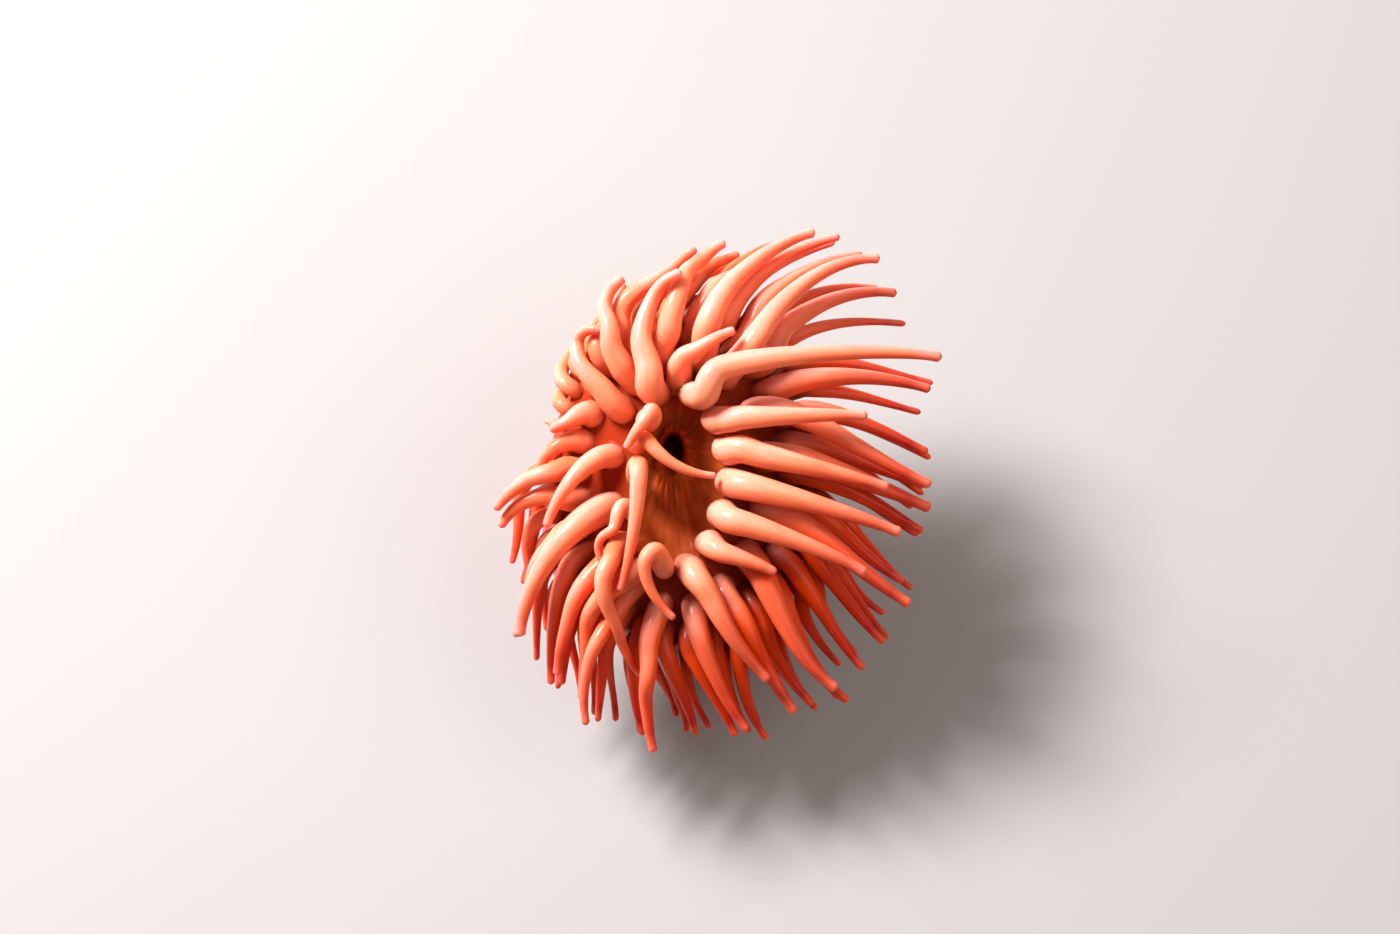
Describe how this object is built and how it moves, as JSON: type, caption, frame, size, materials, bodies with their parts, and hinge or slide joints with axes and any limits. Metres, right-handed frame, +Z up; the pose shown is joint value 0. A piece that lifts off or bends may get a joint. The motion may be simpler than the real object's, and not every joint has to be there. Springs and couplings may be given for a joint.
{
  "type": "beadlet anemone",
  "caption": "Still life-size model of an open beadlet anemone: crown of swept tapering tentacles round an oval mouth disc, on a smooth leaning column and flat base.",
  "frame": {"origin": "middle of the underside of the pedal disc, on the floor", "axes": "+Z up out of the floor; the crown leans 22 degrees towards -Y, so the mouth disc faces up and to -Y; +X is the crown's right seen from -Y"},
  "size_m": [0.045, 0.0519, 0.0352],
  "materials": {
    "tentacles": "wet, translucent, smooth flesh",
    "disc": "wet, smooth, finely grooved flesh",
    "lips": "wet, folded flesh",
    "column": "wet, smooth flesh with a thin blue edge to the base; the beads on the collar are blue"
  },
  "bodies": {
    "root": {"pedal_disc": "column", "column": "column", "collar": "column", "oral_disc": "disc", "lips": "lips", "tentacle_01_base": "tentacles", "tentacle_01_tip": "tentacles", "tentacle_02_base": "tentacles", "tentacle_02_tip": "tentacles", "tentacle_03_base": "tentacles", "tentacle_03_tip": "tentacles", "tentacle_04_base": "tentacles", "tentacle_04_tip": "tentacles", "tentacle_05_base": "tentacles", "tentacle_05_tip": "tentacles", "tentacle_06_base": "tentacles", "tentacle_06_tip": "tentacles", "tentacle_07_base": "tentacles", "tentacle_07_tip": "tentacles", "tentacle_08_base": "tentacles", "tentacle_08_tip": "tentacles", "tentacle_09_base": "tentacles", "tentacle_09_tip": "tentacles", "tentacle_10_base": "tentacles", "tentacle_10_tip": "tentacles", "tentacle_11_base": "tentacles", "tentacle_11_tip": "tentacles", "tentacle_12_base": "tentacles", "tentacle_12_tip": "tentacles", "tentacle_13_base": "tentacles", "tentacle_13_tip": "tentacles", "tentacle_14_base": "tentacles", "tentacle_14_tip": "tentacles", "tentacle_15_base": "tentacles", "tentacle_15_tip": "tentacles", "tentacle_16_base": "tentacles", "tentacle_16_tip": "tentacles", "crown_sector_01": "tentacles", "crown_sector_02": "tentacles", "crown_sector_03": "tentacles", "crown_sector_04": "tentacles", "crown_sector_05": "tentacles", "crown_sector_06": "tentacles", "crown_sector_07": "tentacles", "crown_sector_08": "tentacles", "crown_sector_09": "tentacles", "crown_sector_10": "tentacles", "crown_sector_11": "tentacles", "crown_sector_12": "tentacles", "crown_sector_13": "tentacles", "crown_sector_14": "tentacles", "crown_sector_15": "tentacles", "crown_sector_16": "tentacles"}
  },
  "joints": []
}
